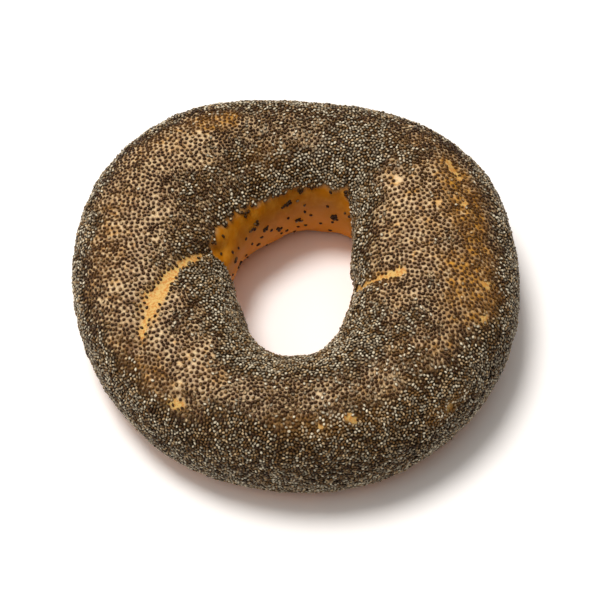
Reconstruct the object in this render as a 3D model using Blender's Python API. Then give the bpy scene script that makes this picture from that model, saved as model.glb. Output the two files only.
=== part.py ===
"""A bagel: one piece of bread, a hand-rolled ring of dough that was boiled, seeded and baked.

It lies on its flat underside. A point of its surface is named by two angles: the ring
angle goes round the hole from +X towards +Y, and the section angle goes round the tube
of dough, 0 at its outer side, 90 at the crown, 180 at the hole and 270 underneath.
"""

import math

import bpy

# Driving sizes, in metres.
OUTER_RADIUS = 0.0546
HOLE_HALF_WIDTH = 0.0145
HOLE_HALF_LENGTH = 0.022
HEIGHT = 0.031
SIDE_RISE = 0.0008

# The section is a rounded box, fuller than an ellipse, whose belly the baking tray cut flat.
FULLNESS = 2.2
BELLY_HEIGHT = 0.47 * HEIGHT
BELLY_DEPTH = 0.60 * HEIGHT
BASE_CORNER = 0.0016

# Where the rolled ring is fuller or slimmer: (ring angle, spread in degrees, metres added).
OUTLINE_SWELLS = (
    (36, 22, 0.0019),
    (82, 24, -0.0032),
    (119, 16, 0.0014),
    (143, 28, 0.0034),
    (212, 22, -0.0007),
    (262, 20, -0.0011),
)
HOLE_SWELLS = (
    (18, 17, -0.0009),
    (56, 18, 0.0042),
    (108, 20, -0.0026),
    (180, 30, 0.0012),
    (250, 22, 0.0021),
    (284, 14, 0.0010),
    (325, 28, -0.0010),
)

# Soft rises and hollows of the crust: (ring angle, section angle, reach, metres added).
CRUST_SWELLS = (
    (4, 50, 0.013, -0.0007),
    (40, 95, 0.012, 0.0004),
    (75, 70, 0.014, 0.0004),
    (118, 60, 0.014, -0.0005),
    (150, 80, 0.015, 0.0005),
    (205, 125, 0.010, 0.0006),
    (236, 45, 0.012, -0.0005),
    (262, 80, 0.014, 0.0005),
    (296, 60, 0.013, -0.0004),
    (322, 95, 0.014, 0.0005),
)

# Creases where the dough folded on itself, each a straight run from one (ring angle,
# section angle) to another: (start, end, half width, depth).
CREASES = (
    ((166, 150), (214, 58), 0.0024, 0.0011),
    ((340, 165), (349, 112), 0.0020, 0.0007),
    ((39, 58), (20, 66), 0.0020, 0.0007),
)

RING_STEPS = 108
SECTION_STEPS = 32
CRUST_COLOUR = (0.36, 0.20, 0.075, 1.0)


def turn_between(angle, other):
    """The smaller turn from one angle to another, in degrees, with its sign."""
    return (other - angle + 180) % 360 - 180


def swelled(ring, swells):
    return sum(added * math.exp(-((turn_between(at, ring) / spread) ** 2)) for at, spread, added in swells)


def outline_radius(ring):
    return OUTER_RADIUS + swelled(ring, OUTLINE_SWELLS)


def hole_radius(ring):
    """An oval that is longer towards -Y, drawn out at one corner and pressed in beside it."""
    across = HOLE_HALF_LENGTH * math.cos(math.radians(ring))
    along = HOLE_HALF_WIDTH * math.sin(math.radians(ring))
    oval = HOLE_HALF_WIDTH * HOLE_HALF_LENGTH / math.hypot(across, along)
    return oval + swelled(ring, HOLE_SWELLS)


def rounded(value):
    """A sine or cosine drawn out, which makes a rounded box of an ellipse."""
    return math.copysign(abs(value) ** (2 / FULLNESS), value)


def pressed_flat(z):
    """The height left over the tray: level below it, then a small round corner, then unchanged."""
    if z <= -BASE_CORNER:
        return 0.0
    if z >= BASE_CORNER:
        return z
    return (z + BASE_CORNER) ** 2 / (4 * BASE_CORNER)


def gap_to(start, end, ring, section, ring_metres, section_metres):
    """How far a place on the crust is from the run between two others, along the crust."""
    run = (turn_between(start[0], end[0]) * ring_metres, turn_between(start[1], end[1]) * section_metres)
    here = (turn_between(start[0], ring) * ring_metres, turn_between(start[1], section) * section_metres)
    length = math.hypot(*run)
    part = 0.0
    if length > 0:
        part = max(0.0, min(1.0, (run[0] * here[0] + run[1] * here[1]) / length**2))
    return math.hypot(here[0] - part * run[0], here[1] - part * run[1])


def crust_relief(ring, section, ring_metres, section_metres):
    """What the swells add to the crust and the creases take from it."""
    relief = 0.0
    for at_ring, at_section, reach, added in CRUST_SWELLS:
        place = (at_ring, at_section)
        gap = gap_to(place, place, ring, section, ring_metres, section_metres)
        relief += added * math.exp(-((gap / reach) ** 2))
    for start, end, half_width, depth in CREASES:
        gap = gap_to(start, end, ring, section, ring_metres, section_metres)
        relief -= depth * math.exp(-((gap / half_width) ** 2))
    return relief


def crust_point(ring, section):
    """The place of a ring angle and a section angle on the crust."""
    outside = outline_radius(ring)
    inside = hole_radius(ring)
    half_width = (outside - inside) / 2
    crown = HEIGHT + SIDE_RISE * math.cos(2 * math.radians(ring))
    out = rounded(math.cos(math.radians(section)))
    up = rounded(math.sin(math.radians(section)))
    radius = (outside + inside) / 2 + half_width * out
    relief = crust_relief(ring, section, math.radians(radius), math.radians(half_width))
    radius += relief * math.cos(math.radians(section))
    rise = (crown - BELLY_HEIGHT) * up if up > 0 else BELLY_DEPTH * up
    z = pressed_flat(BELLY_HEIGHT + rise + relief * math.sin(math.radians(section)))
    return radius * math.cos(math.radians(ring)), radius * math.sin(math.radians(ring)), z


def centred_over_base(mesh):
    """Moves the mesh sideways, so that the origin is under the middle of the bagel."""
    for axis in (0, 1):
        places = [vertex.co[axis] for vertex in mesh.vertices]
        middle = (min(places) + max(places)) / 2
        for vertex in mesh.vertices:
            vertex.co[axis] -= middle


def crust_material():
    material = bpy.data.materials.new("crust")
    material.use_nodes = True
    material.diffuse_color = CRUST_COLOUR
    shader = material.node_tree.nodes["Principled BSDF"]
    shader.inputs["Base Color"].default_value = CRUST_COLOUR
    shader.inputs["Roughness"].default_value = 0.6
    return material


def bagel(collection):
    """A torus whose points are moved to the bagel's crust."""
    bpy.ops.mesh.primitive_torus_add(
        major_segments=RING_STEPS, minor_segments=SECTION_STEPS, major_radius=1.0, minor_radius=0.25
    )
    ring_of_dough = bpy.context.object
    ring_of_dough.name = "bagel"
    for vertex in ring_of_dough.data.vertices:
        x, y, z = vertex.co
        ring = math.degrees(math.atan2(y, x))
        section = math.degrees(math.atan2(z, math.hypot(x, y) - 1.0))
        vertex.co = crust_point(ring, section)
    centred_over_base(ring_of_dough.data)
    ring_of_dough.data.materials.append(crust_material())
    ring_of_dough.data.shade_smooth()
    for holder in list(ring_of_dough.users_collection):
        holder.objects.unlink(ring_of_dough)
    collection.objects.link(ring_of_dough)


for thing in list(bpy.data.objects):
    bpy.data.objects.remove(thing, do_unlink=True)

bakery = bpy.data.collections.new("Bagel")
bpy.context.scene.collection.children.link(bakery)
bagel(bakery)
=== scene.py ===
import math

import bmesh
import bpy
import numpy as np
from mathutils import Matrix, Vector
from mathutils.kdtree import KDTree


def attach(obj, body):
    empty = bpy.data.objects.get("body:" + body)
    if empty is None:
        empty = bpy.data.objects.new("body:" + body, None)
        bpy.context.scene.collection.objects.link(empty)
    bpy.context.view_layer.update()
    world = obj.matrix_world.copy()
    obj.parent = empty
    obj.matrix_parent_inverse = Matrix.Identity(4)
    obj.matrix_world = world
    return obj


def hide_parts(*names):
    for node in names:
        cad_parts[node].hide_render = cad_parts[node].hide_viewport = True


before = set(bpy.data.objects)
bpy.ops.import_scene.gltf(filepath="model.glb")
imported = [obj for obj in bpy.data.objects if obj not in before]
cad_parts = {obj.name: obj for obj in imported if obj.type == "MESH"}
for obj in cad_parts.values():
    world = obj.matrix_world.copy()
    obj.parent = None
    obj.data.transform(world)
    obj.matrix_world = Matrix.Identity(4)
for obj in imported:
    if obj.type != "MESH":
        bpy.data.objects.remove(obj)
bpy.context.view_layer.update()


# The bread ring. A rope of dough, rolled by hand, joined into a ring, boiled and baked on a
# tray: a domed crown, a flat underside, and a few swells and creases left by the hands.
# A place on it is a ring angle, round the hole from +X towards +Y, and a section angle,
# round the rope of dough: 0 outside, 90 at the crown, 180 at the hole, 270 underneath.
OUTER_RADIUS = 0.0546
HOLE_HALF_WIDTH = 0.0145
HOLE_HALF_LENGTH = 0.022
HEIGHT = 0.031
SIDE_RISE = 0.0008
FULLNESS = 2.2
BELLY_HEIGHT = 0.47 * HEIGHT
BELLY_DEPTH = 0.60 * HEIGHT
BASE_CORNER = 0.0016
OUTLINE_SWELLS = (
    (36, 22, 0.0019),
    (82, 24, -0.0032),
    (119, 16, 0.0014),
    (143, 28, 0.0034),
    (212, 22, -0.0007),
    (262, 20, -0.0011),
)
HOLE_SWELLS = (
    (18, 17, -0.0009),
    (56, 18, 0.0042),
    (108, 20, -0.0026),
    (180, 30, 0.0012),
    (250, 22, 0.0021),
    (284, 14, 0.0010),
    (325, 28, -0.0010),
)
CRUST_SWELLS = (
    (4, 50, 0.013, -0.0007),
    (40, 95, 0.012, 0.0004),
    (75, 70, 0.014, 0.0004),
    (118, 60, 0.014, -0.0005),
    (150, 80, 0.015, 0.0005),
    (205, 125, 0.010, 0.0006),
    (236, 45, 0.012, -0.0005),
    (262, 80, 0.014, 0.0005),
    (296, 60, 0.013, -0.0004),
    (322, 95, 0.014, 0.0005),
)
JOIN_CREASE = ((166, 150), (214, 58), 0.0024, 0.0011)
INNER_CREASE = ((340, 165), (349, 112), 0.0020, 0.0007)
OUTER_CREASE = ((39, 58), (20, 66), 0.0020, 0.0007)
SEED_COAT = 0.00045
COAT_FROM, COAT_FULL = -0.9, -0.3
SKIN_RIPPLE = 0.00012
RIPPLE_SIZE = 0.006
DRIFT_WAVES = 8
DRIFT_PACE = 3.7
DRIFT_STRENGTH = 2.6
RING_STEPS = 640
SECTION_STEPS = 150
TOP_CLOSENESS = 0.7


def turn_between(angle, other):
    return (other - angle + 180) % 360 - 180


def smooth_step(value, low, high):
    """0 below low, 1 above high, and an S-shaped rise between them."""
    part = np.clip((value - low) / (high - low), 0, 1)
    return part * part * (3 - 2 * part)


def drift(points, size, number):
    """A value of about -1 to 1 that drifts over the given distance. Each number is another drift."""
    draw = np.random.default_rng(number)
    ways = draw.normal(size=(DRIFT_WAVES, 3))
    shifts = draw.uniform(0, 2 * np.pi, DRIFT_WAVES)
    return np.cos(points @ ways.T * (DRIFT_PACE / size) + shifts).sum(axis=-1) / DRIFT_STRENGTH


def swelled(ring, swells):
    return sum(added * np.exp(-((turn_between(at, ring) / reach) ** 2)) for at, reach, added in swells)


def half_section(ring):
    """The ring's outer radius and the hole's radius at a ring angle."""
    turn = np.radians(ring)
    oval = HOLE_HALF_WIDTH * HOLE_HALF_LENGTH / np.hypot(
        HOLE_HALF_LENGTH * np.cos(turn), HOLE_HALF_WIDTH * np.sin(turn)
    )
    return OUTER_RADIUS + swelled(ring, OUTLINE_SWELLS), oval + swelled(ring, HOLE_SWELLS)


def gap_to_run(start, end, ring, section, ring_metres, section_metres):
    """How far a place is from the straight run between two others, along the crust, in metres."""
    run_ring = turn_between(start[0], end[0]) * ring_metres
    run_section = (end[1] - start[1]) * section_metres
    here_ring = turn_between(start[0], ring) * ring_metres
    here_section = turn_between(start[1], section) * section_metres
    length = np.maximum(run_ring**2 + run_section**2, 1e-12)
    part = np.clip((run_ring * here_ring + run_section * here_section) / length, 0, 1)
    return np.hypot(here_ring - part * run_ring, here_section - part * run_section)


def rounded(value):
    return np.sign(value) * np.abs(value) ** (2 / FULLNESS)


def crust_place(ring, section, bare_form=False):
    """Points of the crust, in metres. The crust lies a seed's half thickness inside the bare form."""
    turn = np.radians(ring)
    outside, inside = half_section(ring)
    half_width = (outside - inside) / 2
    crown = HEIGHT + SIDE_RISE * np.cos(2 * turn)
    level, upward = np.cos(np.radians(section)), np.sin(np.radians(section))
    radius = (outside + inside) / 2 + half_width * rounded(level)
    ring_metres, section_metres = np.radians(radius), np.radians(half_width)
    relief = np.zeros(np.shape(ring))
    for at_ring, at_section, reach, added in CRUST_SWELLS:
        place = (at_ring, at_section)
        gap = gap_to_run(place, place, ring, section, ring_metres, section_metres)
        relief = relief + added * np.exp(-((gap / reach) ** 2))
    for start, end, crease_half_width, depth in (JOIN_CREASE, INNER_CREASE, OUTER_CREASE):
        gap = gap_to_run(start, end, ring, section, ring_metres, section_metres)
        relief = relief - depth * np.exp(-((gap / crease_half_width) ** 2))
    up = rounded(upward)
    rise = np.where(up > 0, (crown - BELLY_HEIGHT) * up, BELLY_DEPTH * up)
    if not bare_form:
        rough_place = np.stack([radius * np.cos(turn), radius * np.sin(turn), rise], axis=-1)
        relief = relief - SEED_COAT * smooth_step(upward, COAT_FROM, COAT_FULL)
        relief = relief + SKIN_RIPPLE * drift(rough_place, RIPPLE_SIZE, 5)
    radius = radius + relief * level
    z = BELLY_HEIGHT + rise + relief * upward
    corner = (np.clip(z, -BASE_CORNER, BASE_CORNER) + BASE_CORNER) ** 2 / (4 * BASE_CORNER)
    z = np.where(z < BASE_CORNER, corner, z)
    return np.stack([radius * np.cos(turn), radius * np.sin(turn), z], axis=-1) - ring_middle


# The bagel stands over the middle of its own outline, so that middle is worked out first.
ring_middle = np.zeros(3)
outline = crust_place(*np.meshgrid(np.arange(0, 360, 1.0), np.arange(-40, 220, 2.0)), bare_form=True)
outline = outline.reshape(-1, 3)
ring_middle = (outline.min(axis=0) + outline.max(axis=0)) / 2 * np.array([1, 1, 0])

# The crust's mesh: a grid that closes both round the ring and round the section.
steps = np.stack(np.meshgrid(np.arange(RING_STEPS), np.arange(SECTION_STEPS), indexing="ij"), axis=-1)
steps = steps.reshape(-1, 2)
face_steps = steps[:, None] + ((0, 0), (1, 0), (1, 1), (0, 1))
crust_faces = face_steps[..., 0] % RING_STEPS * SECTION_STEPS + face_steps[..., 1] % SECTION_STEPS
crust_mesh = bpy.data.meshes.new("bread_crust")
crust_mesh.from_pydata(np.zeros((len(steps), 3)), [], crust_faces.tolist())
crust_uv = face_steps / (RING_STEPS, SECTION_STEPS)
crust_mesh.uv_layers.new(name="OFBake").data.foreach_set("uv", crust_uv.ravel())
crust = bpy.data.objects.new("bread_crust", crust_mesh)
bpy.context.scene.collection.objects.link(crust)
crust_ring = steps[:, 0] * 360 / RING_STEPS
crust_section = steps[:, 1] * 360 / SECTION_STEPS
crust_section = (crust_section + 90) % 360 - 90
crust_section = crust_section + np.degrees(TOP_CLOSENESS) * np.cos(np.radians(crust_section))
crust_points = crust_place(crust_ring, crust_section)


# Where the seeds lie, and how the crust coloured. Where the dough grew most, the seeds lie apart
# and sunk, and the skin between them is cream, partly its own pale colour and partly painted sheen of the
# lamp. The wall of the hole never met the seeds.
# Patches of seeds that lie apart: (ring angle, section angle, reach in each, how far, 0 to 1).
OPEN_CRUST = (
    (152, 70, 52, 40, 1.0),
    (196, 70, 34, 42, 1.0),
    (226, 72, 30, 42, 0.85),
    (4, 114, 52, 42, 0.95),
    (14, 64, 56, 34, 0.9),
    (343, 69, 31, 36, 0.9),
    (270, 80, 52, 26, 0.62),
    (144, 116, 44, 24, 0.5),
    (96, 84, 28, 42, 0.54),
)
# Golden patches: the same four, and how golden.
GOLDEN_CRUST = (
    (16, 64, 36, 20, 0.95),
    (348, 62, 26, 30, 0.9),
    (118, 66, 12, 16, 0.9),
    (134, 58, 16, 16, 0.55),
    (222, 48, 20, 24, 0.62),
    (232, 84, 14, 18, 0.55),
    (280, 58, 22, 16, 0.75),
    (312, 24, 10, 10, 0.8),
    (106, 112, 14, 18, 0.7),
    (300, 75, 38, 24, 0.5),
    (345, 135, 12, 30, 0.7),
    (24, 88, 46, 40, 0.5),
    (176, 60, 30, 24, 0.55),
)
# Small places that the seeds fell off: ring angle, section angle, half width in metres.
BARE_SPOTS = (
    (234, 45, 0.0009),
    (236, 49, 0.0006),
    (277, 57, 0.0008),
    (286, 60, 0.0009),
    (313, 23, 0.0010),
    (122, 64, 0.0007),
    (31, 62, 0.0008),
    (19, 66, 0.0007),
    (350, 53, 0.0007),
    (339, 50, 0.0009),
    (341, 34, 0.0006),
)
# Bare streaks along the creases: start, end, half width in metres.
BARE_STREAKS = (
    ((168, 144), (181, 122), 0.0006),
    ((181, 122), (192, 102), 0.0009),
    ((191, 103), (198, 92), 0.0012),
    ((198, 92), (205, 80), 0.0016),
    ((205, 80), (211, 66), 0.0007),
    ((346, 166), (343, 148), 0.0018),
    ((343, 148), (349, 115), 0.0011),
    ((38, 60), (33, 64), 0.0005),
)
# Small clumps of strays on the bare wall of the hole: ring angle, section angle.
WALL_CLUMPS = (
    (97, 162),
    (124, 163),
    (128, 167),
    (137, 169),
    (66, 184),
    (89, 187),
    (104, 186),
    (116, 176),
    (160, 170),
)
PATCH_FULL, PATCH_END = 0.4, 1.3
CLOSER_SPOTS = 0.22
WALL_STARTS = 186
FAR_WALL_RISES, FAR_WALL_SLOPES, WALL_WAVERS = 36, 11, 2.5
LOW_SIDE_BARE, LOW_SIDE_SEEDED = -40, -27
STREAK_BARENESS = 0.93


def local_scale(ring):
    """Metres for a degree of ring angle, at the crown, and for a degree of section angle."""
    outside, inside = half_section(ring)
    return np.radians((outside + inside) / 2), np.radians((outside - inside) / 2)


def field(ring, section, points, places):
    """The strongest of several ragged patches at each place."""
    value = np.zeros(np.shape(ring))
    ragged = 0.13 * drift(points, 0.010, 11) + 0.09 * drift(points, 0.004, 12)
    for at_ring, at_section, ring_reach, section_reach, amount in places:
        gap = np.hypot(turn_between(at_ring, ring) / ring_reach, (section - at_section) / section_reach)
        value = np.maximum(value, amount * (1 - smooth_step(gap + ragged, PATCH_FULL, PATCH_END)))
    return value


def open_crust(ring, section, points):
    """How far the dough drew the seeds apart at each place, 0 to 1."""
    closer = smooth_step(drift(points, 0.003, 13), 0.3, 1.1)
    return field(ring, section, points, OPEN_CRUST) * (1 - CLOSER_SPOTS * closer)


def wall_start(ring, points):
    """The section angle at which the bare wall of the hole starts, under the seeded edge."""
    far_side = smooth_step(ring, 50, 60) * (1 - smooth_step(ring, 168, 190))
    rises = FAR_WALL_RISES + FAR_WALL_SLOPES * smooth_step(ring, 100, 165)
    return WALL_STARTS - far_side * rises + WALL_WAVERS * drift(points, 0.004, 21)


def streak_gaps(ring, section, points):
    """How far each place is from each bare streak and spot, in half widths of that one."""
    ring_metres, section_metres = local_scale(ring)
    ragged = 0.0004 * drift(points, 0.0026, 31) + 0.0003 * drift(points, 0.0011, 32)
    for start, end, half_width in BARE_STREAKS:
        gap = gap_to_run(start, end, ring, section, ring_metres, section_metres)
        yield (gap + ragged) / half_width
    for at_ring, at_section, half_width in BARE_SPOTS:
        place = (at_ring, at_section)
        gap = gap_to_run(place, place, ring, section, ring_metres, section_metres)
        yield (gap + ragged) / half_width


def bare_crust(ring, section, points):
    """1 where no seeds stuck: the wall of the hole, the streaks, the spots and low on the sides."""
    start = wall_start(ring, points)
    on_sides = 1 - smooth_step(section, LOW_SIDE_BARE, LOW_SIDE_SEEDED)
    bare = np.maximum(smooth_step(section, start - 9, start + 3), on_sides)
    for gap in streak_gaps(ring, section, points):
        bare = np.maximum(bare, STREAK_BARENESS * (1 - smooth_step(gap, 0.8, 1.3)))
    return bare


def streak_glow(ring, section, points):
    """The yellow crust in a bare streak, which fades out a little way under the seeds."""
    return np.max([1 - smooth_step(gap, 0.9, 2.2) for gap in streak_gaps(ring, section, points)], axis=0)


def add_field(mesh, name, values):
    mesh.attributes.new(name, "FLOAT", "POINT").data.foreach_set("value", np.asarray(values, np.float32))


crust_open = open_crust(crust_ring, crust_section, crust_points)
wall_edge = wall_start(crust_ring, crust_points)
crust_bare = bare_crust(crust_ring, crust_section, crust_points)
add_field(crust.data, "open", crust_open)
add_field(crust.data, "golden", field(crust_ring, crust_section, crust_points, GOLDEN_CRUST))
add_field(crust.data, "streak", streak_glow(crust_ring, crust_section, crust_points))
golden_wall = smooth_step(crust_section, wall_edge - 9, wall_edge + 2)
golden_side = 1 - smooth_step(crust_section, -38, -22)
add_field(crust.data, "wall", np.maximum(golden_wall, golden_side))
# low: lower down the wall of the hole, which the shader paints paler as painted bounce light from the
# table.
add_field(crust.data, "low", smooth_step(crust_section, wall_edge + 4, wall_edge + 42))
# covered: where packed seeds hide the crust; the shader paints the crust there with the shade of the gaps
# between seeds.
add_field(crust.data, "covered", 1 - np.maximum(smooth_step(crust_open, 0.12, 0.75), crust_bare))
underneath = np.maximum(smooth_step(-crust_section, 38, 60), smooth_step(crust_section, 218, 240))
add_field(crust.data, "tray", underneath)


# The poppy seeds. Each is a small kidney, about 1 mm long, stuck to the wet dough before baking.
# Most lie packed side by side; where the dough grew they sit apart, each sunk in its own seat.
CLOSE_SPACING = 0.00086
OPEN_SPACING = 0.00134
ROOM_VARIES = 0.34
GROUND_FOR_EACH = 0.80
SETTLING_ROUNDS = 24
NEIGHBOURS = 6
ELBOW_ROOM = 1.04
PUSH = 0.35
LOWEST_SEED = 0.0012
LOWEST_WALL_STRAY = 202
WALL_STRAYS, OTHER_STRAYS, CLUMP_SEEDS = 0.025, 0.02, 0.9
rng = np.random.default_rng(2731)


def seed_spacing(ring, section, points):
    return CLOSE_SPACING + (OPEN_SPACING - CLOSE_SPACING) * open_crust(ring, section, points)


def crust_frame(ring, section):
    """Points, the way that a degree of each angle goes, and the outward normal."""
    along_ring = crust_place(ring + 0.5, section) - crust_place(ring - 0.5, section)
    along_section = crust_place(ring, section + 0.5) - crust_place(ring, section - 0.5)
    normal = np.cross(along_ring, along_section)
    normal /= np.linalg.norm(normal, axis=1, keepdims=True)
    return crust_place(ring, section), along_ring, along_section, normal


def sown():
    """Ring and section angles of seeds strewn as densely as their spacing at each place asks."""
    ring, section = np.meshgrid(np.arange(0.5, 360, 1.0), np.arange(-49, 212, 2.0))
    ring, section = ring.ravel(), section.ravel()
    points, along_ring, along_section, _ = crust_frame(ring, section)
    areas = np.linalg.norm(np.cross(along_ring, along_section), axis=1) * 2
    wanted = areas / (GROUND_FOR_EACH * seed_spacing(ring, section, points) ** 2)
    count = int(wanted.sum())
    cell = rng.choice(len(ring), count, p=wanted / wanted.sum())
    return ring[cell] + rng.uniform(-0.5, 0.5, count), section[cell] + rng.uniform(-1, 1, count)


def tree_of(points):
    tree = KDTree(len(points))
    for index, point in enumerate(points):
        tree.insert(point, index)
    tree.balance()
    return tree


def settled(ring, section):
    """The seeds pushed apart along the crust until few overlap. Seeds apart keep uneven room."""
    room = rng.uniform(-ROOM_VARIES, ROOM_VARIES, len(ring))
    for _ in range(SETTLING_ROUNDS):
        points, along_ring, along_section, _ = crust_frame(ring, section)
        spacing = seed_spacing(ring, section, points) * (1 + room * open_crust(ring, section, points))
        tree = tree_of(points)
        found = [tree.find_n(point, NEIGHBOURS + 1)[1:] for point in points]
        near = np.array([[index for _, index, _ in neighbours] for neighbours in found])
        away = points[:, None] - points[near]
        gaps = np.maximum(np.linalg.norm(away, axis=2), 1e-6)
        overlap = np.clip(ELBOW_ROOM * (spacing[:, None] + spacing[near]) / 2 - gaps, 0, None)
        push = (away / gaps[..., None] * overlap[..., None]).sum(axis=1) * PUSH
        ring = (ring + (push * along_ring).sum(axis=1) / (along_ring**2).sum(axis=1)) % 360
        section = section + (push * along_section).sum(axis=1) / (along_section**2).sum(axis=1)
    return ring, section


seed_ring, seed_section = settled(*sown())
seed_points, seed_along, _, seed_normal = crust_frame(seed_ring, seed_section)
keeps = 1 - bare_crust(seed_ring, seed_section, seed_points)
on_wall = (seed_section > wall_start(seed_ring, seed_points)) & (seed_section < LOWEST_WALL_STRAY)
stray = np.where(on_wall, WALL_STRAYS, OTHER_STRAYS)
wall_scale = local_scale(seed_ring)
for place in WALL_CLUMPS:
    gap = gap_to_run(place, place, seed_ring, seed_section, wall_scale[0] * 0.5, wall_scale[1])
    stray = np.maximum(stray, CLUMP_SEEDS * (1 - smooth_step(gap, 0.0006, 0.0012)))
keeps = np.where(seed_points[:, 2] < LOWEST_SEED, 0, np.maximum(keeps, stray))
kept = np.flatnonzero(rng.random(len(keeps)) < keeps)
seed_ring, seed_section = seed_ring[kept], seed_section[kept]
seed_points, seed_along, seed_normal = seed_points[kept], seed_along[kept], seed_normal[kept]
seed_count = len(kept)
seed_open = open_crust(seed_ring, seed_section, seed_points)
seed_open = np.maximum(seed_open, bare_crust(seed_ring, seed_section, seed_points))
seed_golden = field(seed_ring, seed_section, seed_points, GOLDEN_CRUST)


# The baked crust. Each sunk seed sits in a small seat, and the skin stands up a little between the
# seats. The finish is cream, golden or yellow skin, where the cream is partly painted sheen; the brown in
# the seats is partly browning and partly painted shade in each hollow, and the dark brown under the seeds
# is painted shade between them.
SEAT_CORE = 0.28
SEAT_RIM = 0.65
SEAT_DEPTH = 0.00009
SKIN_STANDS, SEAT_SINKS = 0.6, 1.4
seed_tree = tree_of(seed_points)
to_seed = np.array([seed_tree.find(point)[2] for point in crust_points])
crust_spacing = seed_spacing(crust_ring, crust_section, crust_points)
seat = 1 - smooth_step(to_seed / crust_spacing, SEAT_CORE, SEAT_RIM)
_, _, _, crust_normal = crust_frame(crust_ring, crust_section)
sunk = crust_open * (1 - crust_bare)
seat_relief = SEAT_DEPTH * sunk * (SKIN_STANDS - SEAT_SINKS * seat)
crust_points = crust_points + crust_normal * seat_relief[:, None]
crust_points[:, 2] = np.maximum(crust_points[:, 2], 0)
crust.data.vertices.foreach_set("co", crust_points.ravel())
crust.data.shade_smooth()
crust.data.update()
add_field(crust.data, "seat", seat)


def colour(red, green, blue):
    """A colour as a screen shows it, 0 to 255, made linear."""
    linear = []
    for shown in (red / 255, green / 255, blue / 255):
        linear.append(shown / 12.92 if shown <= 0.04 else ((shown + 0.055) / 1.055) ** 2.4)
    return (*linear, 1.0)


# CREAM is partly the crust's own pale colour and partly painted sheen of the lamp on the open skin.
CREAM = colour(243, 209, 160)
GOLDEN = colour(224, 158, 56)
CREASE_YELLOW = colour(228, 186, 110)
CREASE_ORANGE = colour(210, 140, 66)
WALL_GOLD = colour(198, 118, 4)
# Paler gold for the lower wall of the hole: painted bounce light from the table.
WALL_PAINTED_BOUNCE = colour(230, 144, 34)
# Brown of the flecks and the seats; in the seats it is partly painted shade in the hollow round each sunk
# seed.
SEAT_BROWN_AND_SHADE = colour(118, 78, 44)
# Dark brown for the crust under packed seeds: painted shade in the gaps between them.
SHADE_UNDER_SEEDS = colour(66, 40, 16)
TRAY_BROWN = colour(168, 108, 48)


def put(tree, socket, value):
    """Sets a socket to a value, or links it to the socket that gives the value."""
    if isinstance(value, bpy.types.NodeSocket):
        tree.links.new(value, socket)
    else:
        socket.default_value = value


def node(tree, kind, inputs=None, **settings):
    made = tree.nodes.new(kind)
    for name, value in settings.items():
        setattr(made, name, value)
    for name, value in (inputs or {}).items():
        put(tree, made.inputs[name], value)
    return made


def mixed(tree, amount, first, second):
    """The colour between two others."""
    mix = node(tree, "ShaderNodeMix", data_type="RGBA")
    for number, value in ((0, amount), (6, first), (7, second)):
        put(tree, mix.inputs[number], value)
    return mix.outputs[2]


def reckoned(tree, operation, *values):
    """The result of a sum on two or three values."""
    maths = node(tree, "ShaderNodeMath", operation=operation)
    for socket, value in zip(maths.inputs, values):
        put(tree, socket, value)
    return maths.outputs[0]


def spread(tree, value, low, high, to_low=0.0, to_high=1.0):
    """A value stretched from one range to another, and kept inside it."""
    limits = {"Value": value, "From Min": low, "From Max": high, "To Min": to_low, "To Max": to_high}
    return node(tree, "ShaderNodeMapRange", limits, interpolation_type="SMOOTHSTEP").outputs["Result"]


def noise(tree, place, size, detail=3.0, roughness=0.5):
    """Random patches of about that size, in metres."""
    settings = {"Vector": place, "Scale": 1 / size, "Detail": detail, "Roughness": roughness}
    return node(tree, "ShaderNodeTexNoise", settings).outputs["Fac"]


crust_finish = bpy.data.materials.new("baked crust")
crust_finish.use_nodes = True
tree = crust_finish.node_tree
shader = tree.nodes["Principled BSDF"]
place = node(tree, "ShaderNodeTexCoord").outputs["Object"]
on_crust = {
    name: node(tree, "ShaderNodeAttribute", attribute_name=name).outputs["Fac"]
    for name in ("open", "golden", "streak", "wall", "low", "covered", "tray", "seat")
}
patches = noise(tree, place, 0.007, 3)
mottle = noise(tree, place, 0.0021, 4, 0.6)
specks = noise(tree, place, 0.0007, 3, 0.6)
flecks = noise(tree, place, 0.0009, 3, 0.6)
less_golden = reckoned(tree, "SUBTRACT", on_crust["golden"], 1.15)
gilding = reckoned(tree, "MULTIPLY_ADD", mottle, 2.2, less_golden)
tone = mixed(tree, spread(tree, patches, 0.50, 0.75, 0.0, 0.45), CREAM, GOLDEN)
tone = mixed(tree, spread(tree, gilding, 0.3, 1.1), tone, GOLDEN)
tone = mixed(tree, spread(tree, flecks, 0.48, 0.62, 0.0, 0.42), tone, SEAT_BROWN_AND_SHADE)
# The seats round the sunk seeds are darkened: partly browning, partly painted shade in each hollow.
seat_stain_and_shade = reckoned(tree, "MULTIPLY", on_crust["seat"], spread(tree, specks, 0.2, 0.6, 0.7, 1.0))
tone = mixed(tree, seat_stain_and_shade, tone, SEAT_BROWN_AND_SHADE)
# Painted shade: the crust under and between packed seeds is darkened to the shade in their gaps.
tone = mixed(tree, reckoned(tree, "MULTIPLY", on_crust["covered"], 0.92), tone, SHADE_UNDER_SEEDS)
crease = mixed(tree, spread(tree, specks, 0.42, 0.62), CREASE_YELLOW, CREASE_ORANGE)
tone = mixed(tree, on_crust["streak"], tone, crease)
wall_tone = mixed(tree, spread(tree, mottle, 0.4, 0.7, 0.0, 0.5), WALL_GOLD, GOLDEN)
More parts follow.
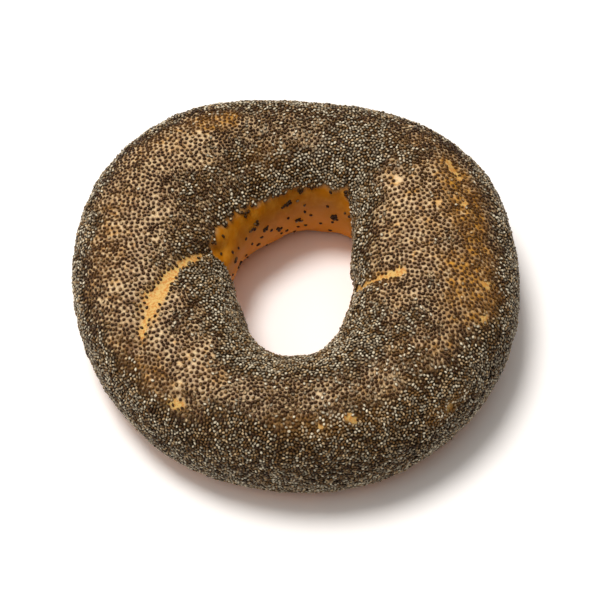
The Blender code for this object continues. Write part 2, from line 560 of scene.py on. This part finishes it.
# Painted light: the lower wall is paler, painted bounce light from the table below.
wall_tone = mixed(tree, on_crust["low"], wall_tone, WALL_PAINTED_BOUNCE)
tone = mixed(tree, on_crust["wall"], tone, wall_tone)
tone = mixed(tree, on_crust["tray"], tone, TRAY_BROWN)
tree.links.new(tone, shader.inputs["Base Color"])
tree.links.new(spread(tree, patches, 0.3, 0.7, 0.42, 0.6), shader.inputs["Roughness"])
shader.inputs["Specular IOR Level"].default_value = 0.16
shader.inputs["Subsurface Weight"].default_value = 0.12
shader.inputs["Subsurface Scale"].default_value = 0.002
shader.inputs["Subsurface Radius"].default_value = (1.0, 0.5, 0.25)
wrinkles = reckoned(tree, "MULTIPLY_ADD", specks, 0.5, mottle)
skin_bump = node(tree, "ShaderNodeBump", {"Height": wrinkles, "Strength": 0.5, "Distance": 0.0002})
tree.links.new(skin_bump.outputs["Normal"], shader.inputs["Normal"])
crust.data.materials.append(crust_finish)
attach(crust, "root")
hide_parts("bagel")


# The seeds themselves. A poppy seed is a small kidney, drawn here from a ball of 32 faces that is
# bent along X, with +Z outward. Its skin is a fine net of raised ribs over blue-grey to brown.
SEED_LENGTH = 0.00103
SEED_WIDTH = 0.00082
SEED_THICKNESS = 0.00070
SIZE_VARIES, SMALLEST_SEED, LARGEST_SEED = 0.09, 0.78, 1.22
SWOLLEN = 0.02
TILT, ROLL, LIES_FLATTER = 0.34, 0.40, 0.6
CLOSE_LIFT, SUNK_LIFT, LIFT_VARIES = 0.00034, 0.00004, 0.00009
KIDNEY_BEND = 0.30
HOLLOW_SIDE = 0.22
seed_form = bmesh.new()
bmesh.ops.create_uvsphere(seed_form, u_segments=4, v_segments=2, radius=1.0)
bmesh.ops.subdivide_edges(seed_form, edges=seed_form.edges, cuts=1, use_grid_fill=True)
bmesh.ops.triangulate(seed_form, faces=seed_form.faces)
for vertex in seed_form.verts:
    vertex.co.normalize()
seed_form.verts.index_update()
ball_points = np.array([vertex.co for vertex in seed_form.verts])
ball_faces = np.array([[vertex.index for vertex in face.verts] for face in seed_form.faces])
seed_form.free()

# Each face's place in its seed's square of the bake: the upper half in the middle, the lower
# half folded out to the corners.
ball_corners = ball_points[ball_faces]
flat = ball_corners / np.abs(ball_corners).sum(axis=2, keepdims=True)
middle = ball_corners.mean(axis=1, keepdims=True)
folded = (1 - np.abs(flat[..., 1::-1])) * np.sign(middle[..., :2])
square = np.where(middle[..., 2:] >= 0, flat[..., :2], folded)
BAKE_MARGIN = 0.07
seed_corner_uv = (square + 1) / 2 * (1 - 2 * BAKE_MARGIN) + BAKE_MARGIN

seed_crest = ball_points[:, 2]
length, width, thickness = ball_points.T / 2
hollow = HOLLOW_SIDE * (0.5 - np.abs(length)) * (width > 0.2)
width = width - KIDNEY_BEND * (4 * length**2 - 0.4) / 2 - hollow
kidney = np.stack([length, width, thickness], axis=-1)


def across(way, other):
    crossed = np.cross(way, other)
    return crossed / np.linalg.norm(crossed, axis=1, keepdims=True)


def seeds(name, chosen, finish):
    """One piece of all the seeds of a kind, each turned, tilted and sized a little differently."""
    count = len(chosen)
    normal = seed_normal[chosen]
    sideways = across(normal, seed_along[chosen])
    forward = across(sideways, normal)
    spin = rng.uniform(0, 2 * np.pi, count)[:, None]
    openness = seed_open[chosen][:, None]
    tilt = rng.normal(0, TILT, count)[:, None] * (1 - LIES_FLATTER * openness)
    roll = rng.normal(0, ROLL, count)[:, None] * (1 - LIES_FLATTER * openness)
    flat_way = np.cos(spin) * forward + np.sin(spin) * sideways
    length_way = np.cos(tilt) * flat_way + np.sin(tilt) * normal
    width_way = across(normal, length_way)
    width_way = np.cos(roll) * width_way + np.sin(roll) * np.cross(length_way, width_way)
    thick_way = np.cross(length_way, width_way)
    size = rng.normal(1.0, SIZE_VARIES, (count, 3)).clip(SMALLEST_SEED, LARGEST_SEED)
    size = size * (SEED_LENGTH, SEED_WIDTH, SEED_THICKNESS)
    size = size * (1 + SWOLLEN * openness)
    uneven = rng.normal(0, LIFT_VARIES, count)[:, None] * (1 - openness)
    lift = CLOSE_LIFT * (1 - openness) + SUNK_LIFT * openness + uneven
    centres = seed_points[chosen] + normal * lift
    sized = kidney[None] * size[:, None]
    points = centres[:, None]
    points = points + sum(
        sized[..., axis, None] * way[:, None] for axis, way in enumerate((length_way, width_way, thick_way))
    )
    faces = ball_faces[None] + (np.arange(count) * len(ball_points))[:, None, None]
    mesh = bpy.data.meshes.new(name)
    mesh.vertices.add(count * len(ball_points))
    mesh.vertices.foreach_set("co", points.ravel())
    mesh.loops.add(faces.size)
    mesh.loops.foreach_set("vertex_index", faces.ravel())
    mesh.polygons.add(faces.size // 3)
    mesh.polygons.foreach_set("loop_start", np.arange(0, faces.size, 3))
    mesh.update(calc_edges=True)
    cells = math.ceil(math.sqrt(count))
    cell = np.stack([np.arange(count) % cells, np.arange(count) // cells], axis=-1)
    corner_uv = (cell[:, None, None] + seed_corner_uv[None]) / cells
    mesh.uv_layers.new(name="OFBake").data.foreach_set("uv", corner_uv.ravel())
    add_field(mesh, "tone", np.repeat(rng.random(count), len(ball_points)))
    # crest: how far each point of a seed faces out, used to paint light on its top and shade on its sides.
    add_field(mesh, "crest", np.tile(seed_crest, count))
    add_field(mesh, "gilt", np.repeat(seed_golden[chosen], len(ball_points)))
    mesh.shade_smooth()
    mesh.materials.append(finish)
    piece = bpy.data.objects.new(name, mesh)
    bpy.context.scene.collection.objects.link(piece)
    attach(piece, "root")


# The seeds' skin is a fine net of raised ribs, with dark blotches. Each seed is painted paler where
# it faces out, as painted light and highlight on its crest, and darker low on its sides, as painted
# shade between the seeds. Each seed has its own tone.
# Golden brown for the painted shade low on the sides of seeds in golden patches.
GILT_STAIN_AND_SHADE = colour(150, 98, 26)
poppy_skin = bpy.data.node_groups.new("poppy skin", "ShaderNodeTree")
for way, socket, kind in (
    ("INPUT", "Face", "NodeSocketColor"),
    ("INPUT", "Stain and shade", "NodeSocketColor"),
    ("OUTPUT", "Colour", "NodeSocketColor"),
    ("OUTPUT", "Roughness", "NodeSocketFloat"),
    ("OUTPUT", "Height", "NodeSocketFloat"),
):
    poppy_skin.interface.new_socket(socket, in_out=way, socket_type=kind)
group_in = node(poppy_skin, "NodeGroupInput")
place = node(poppy_skin, "ShaderNodeTexCoord").outputs["Object"]
own_tone = node(poppy_skin, "ShaderNodeAttribute", attribute_name="tone").outputs["Fac"]
facing_out = node(poppy_skin, "ShaderNodeAttribute", attribute_name="crest").outputs["Fac"]
gilt = node(poppy_skin, "ShaderNodeAttribute", attribute_name="gilt").outputs["Fac"]
ribs = node(
    poppy_skin, "ShaderNodeTexVoronoi", {"Vector": place, "Scale": 9000.0}, feature="DISTANCE_TO_EDGE"
).outputs["Distance"]
blotch = noise(poppy_skin, place, 0.0005, 2)
shade = spread(poppy_skin, own_tone, 0.0, 1.0, 0.0, 0.55)
tone = mixed(poppy_skin, shade, group_in.outputs["Face"], group_in.outputs["Stain and shade"])
blotched = spread(poppy_skin, blotch, 0.45, 0.7, 0.0, 0.3)
tone = mixed(poppy_skin, blotched, tone, group_in.outputs["Stain and shade"])
gilded = spread(poppy_skin, gilt, 0.2, 1.0, 0.0, 0.6)
stain_and_shade = mixed(poppy_skin, gilded, group_in.outputs["Stain and shade"], GILT_STAIN_AND_SHADE)
# Painted light and shade: each seed's crest takes its face colour as painted light and highlight, and its
# low sides the darker colour as painted shade.
tone = mixed(poppy_skin, spread(poppy_skin, facing_out, 0.0, 0.95), stain_and_shade, tone)
group_out = node(poppy_skin, "NodeGroupOutput", {
    "Colour": tone,
    "Roughness": spread(poppy_skin, own_tone, 0.0, 1.0, 0.28, 0.48),
    "Height": spread(poppy_skin, ribs, 0.0, 0.12, 1.0, 0.0),
})


def seed_finish(name, face, stain_and_shade):
    finish = bpy.data.materials.new(name)
    finish.use_nodes = True
    tree = finish.node_tree
    shader = tree.nodes["Principled BSDF"]
    skin = node(tree, "ShaderNodeGroup", node_tree=poppy_skin)
    skin.inputs["Face"].default_value = face
    skin.inputs["Stain and shade"].default_value = stain_and_shade
    tree.links.new(skin.outputs["Colour"], shader.inputs["Base Color"])
    tree.links.new(skin.outputs["Roughness"], shader.inputs["Roughness"])
    shader.inputs["Specular IOR Level"].default_value = 0.22
    rib_relief = {"Height": skin.outputs["Height"], "Strength": 0.3, "Distance": 0.00003}
    bump = node(tree, "ShaderNodeBump", rib_relief)
    tree.links.new(bump.outputs["Normal"], shader.inputs["Normal"])
    return finish


# Kinds of seed: name, colour of the face, which is also painted light on the seed's crest, and the
# dark colour of its stains, which is also painted shade low on its sides, and the share of the seeds
# that lie close, of those in the browner and partly shaded places, and of those that lie apart.
SEED_KINDS = (
    ("seeds_slate", colour(190, 168, 136), colour(46, 32, 12), 0.27, 0.16, 0.0),
    ("seeds_ash", colour(255, 238, 204), colour(62, 44, 18), 0.32, 0.15, 0.0),
    ("seeds_tan", colour(224, 190, 142), colour(60, 40, 14), 0.22, 0.20, 0.04),
    ("seeds_brown", colour(142, 104, 58), colour(50, 32, 8), 0.19, 0.42, 0.22),
    ("seeds_sunk", colour(84, 54, 24), colour(50, 28, 8), 0.0, 0.07, 0.74),
)
# Where the seeds are browner, partly baked browner and partly painted shade on sides that face away from
# the lamps: ring angle, section angle, reach in each, how much.
BROWNED_AND_SHADED_SEEDS = (
    (266, 26, 66, 46, 1.0),
    (292, 66, 50, 40, 0.3),
    (150, 120, 50, 30, 0.8),
    (216, 40, 40, 40, 0.5),
)
sunk_share = smooth_step(seed_open, 0.15, 0.85)
# Browner seeds, partly painted shade where the sides face away from the lamps.
browned_and_shaded = field(seed_ring, seed_section, seed_points, BROWNED_AND_SHADED_SEEDS) * (1 - sunk_share)
plain_share = 1 - browned_and_shaded - sunk_share
shares = []
for _, _, _, close, brown, apart in SEED_KINDS:
    shares.append(close * plain_share + brown * browned_and_shaded + apart * sunk_share)
shares = np.array(shares)
shares = (shares / shares.sum(axis=0)).cumsum(axis=0)
seed_kind = (rng.random(seed_count) > shares).sum(axis=0)
for number, (name, face, stain_and_shade, *_) in enumerate(SEED_KINDS):
    chosen = np.flatnonzero(seed_kind == number)
    seeds(name, chosen, seed_finish(name.replace("_", " "), face, stain_and_shade))


# The table: a plain white sheet that keeps the bagel's soft shadow. It lies a hair below the bagel,
# and looks as white as the room beyond it.
TABLE_WIDTH = 6.0
HAIR = 0.0002
bpy.ops.mesh.primitive_plane_add(size=TABLE_WIDTH, location=(0, 0, -HAIR))
table = bpy.context.object
table.name = "table"
paper = bpy.data.materials.new("white paper")
paper.use_nodes = True
tree = paper.node_tree
tree.nodes.clear()
seen = node(tree, "ShaderNodeLightPath").outputs["Is Camera Ray"]
lit = node(tree, "ShaderNodeBsdfDiffuse", {"Color": (0.88, 0.88, 0.88, 1)})
lit_seen = node(tree, "ShaderNodeBsdfDiffuse", {"Color": (1.20, 1.14, 1.09, 1)})
whole = node(tree, "ShaderNodeMixShader", {"Fac": seen})
tree.links.new(lit.outputs[0], whole.inputs[1])
tree.links.new(lit_seen.outputs[0], whole.inputs[2])
tree.links.new(whole.outputs[0], node(tree, "ShaderNodeOutputMaterial").inputs["Surface"])
table.data.materials.append(paper)

# The light: a lamp and a broad soft one, both high at the back left, and even light all round.
LAMPS = (
    ("lamp", (-0.27, 0.21, 1.0), 21, 2.05),
    ("soft lamp", (-0.48, 0.22, 1.0), 100, 1.1),
)
for name, lamp_from, width, strength in LAMPS:
    light = bpy.data.lights.new(name, "SUN")
    light.energy = strength
    light.angle = math.radians(width)
    lamp = bpy.data.objects.new(name, light)
    lamp.rotation_euler = Vector(lamp_from).to_track_quat("Z", "Y").to_euler()
    bpy.context.scene.collection.objects.link(lamp)

room = bpy.data.worlds.new("room")
room.use_nodes = True
tree = room.node_tree
tree.nodes.clear()
seen = node(tree, "ShaderNodeLightPath").outputs["Is Camera Ray"]
around_light = node(tree, "ShaderNodeBackground", {"Color": (1, 1, 1, 1), "Strength": 0.15})
backdrop = node(tree, "ShaderNodeBackground", {"Color": (1, 1, 1, 1), "Strength": 1.0})
both = node(tree, "ShaderNodeMixShader", {"Fac": seen})
tree.links.new(around_light.outputs[0], both.inputs[1])
tree.links.new(backdrop.outputs[0], both.inputs[2])
tree.links.new(both.outputs[0], node(tree, "ShaderNodeOutputWorld").inputs["Surface"])
bpy.context.scene.world = room

# The camera looks down over the near edge from about 58 degrees up, through a long lens.
VIEW_HEIGHT = math.radians(58)
VIEW_DISTANCE = 0.70
look_at = Vector((0.0010, -0.0038, 0.0155))
camera_data = bpy.data.cameras.new("camera")
camera_data.lens = 171.0
camera_data.clip_end = 20.0
camera = bpy.data.objects.new("camera", camera_data)
towards_camera = Vector((0, -math.cos(VIEW_HEIGHT), math.sin(VIEW_HEIGHT)))
camera.location = look_at + towards_camera * VIEW_DISTANCE
camera.rotation_euler = towards_camera.to_track_quat("Z", "Y").to_euler()
bpy.context.scene.collection.objects.link(camera)
bpy.context.scene.camera = camera
bpy.context.scene.view_settings.view_transform = "Standard"
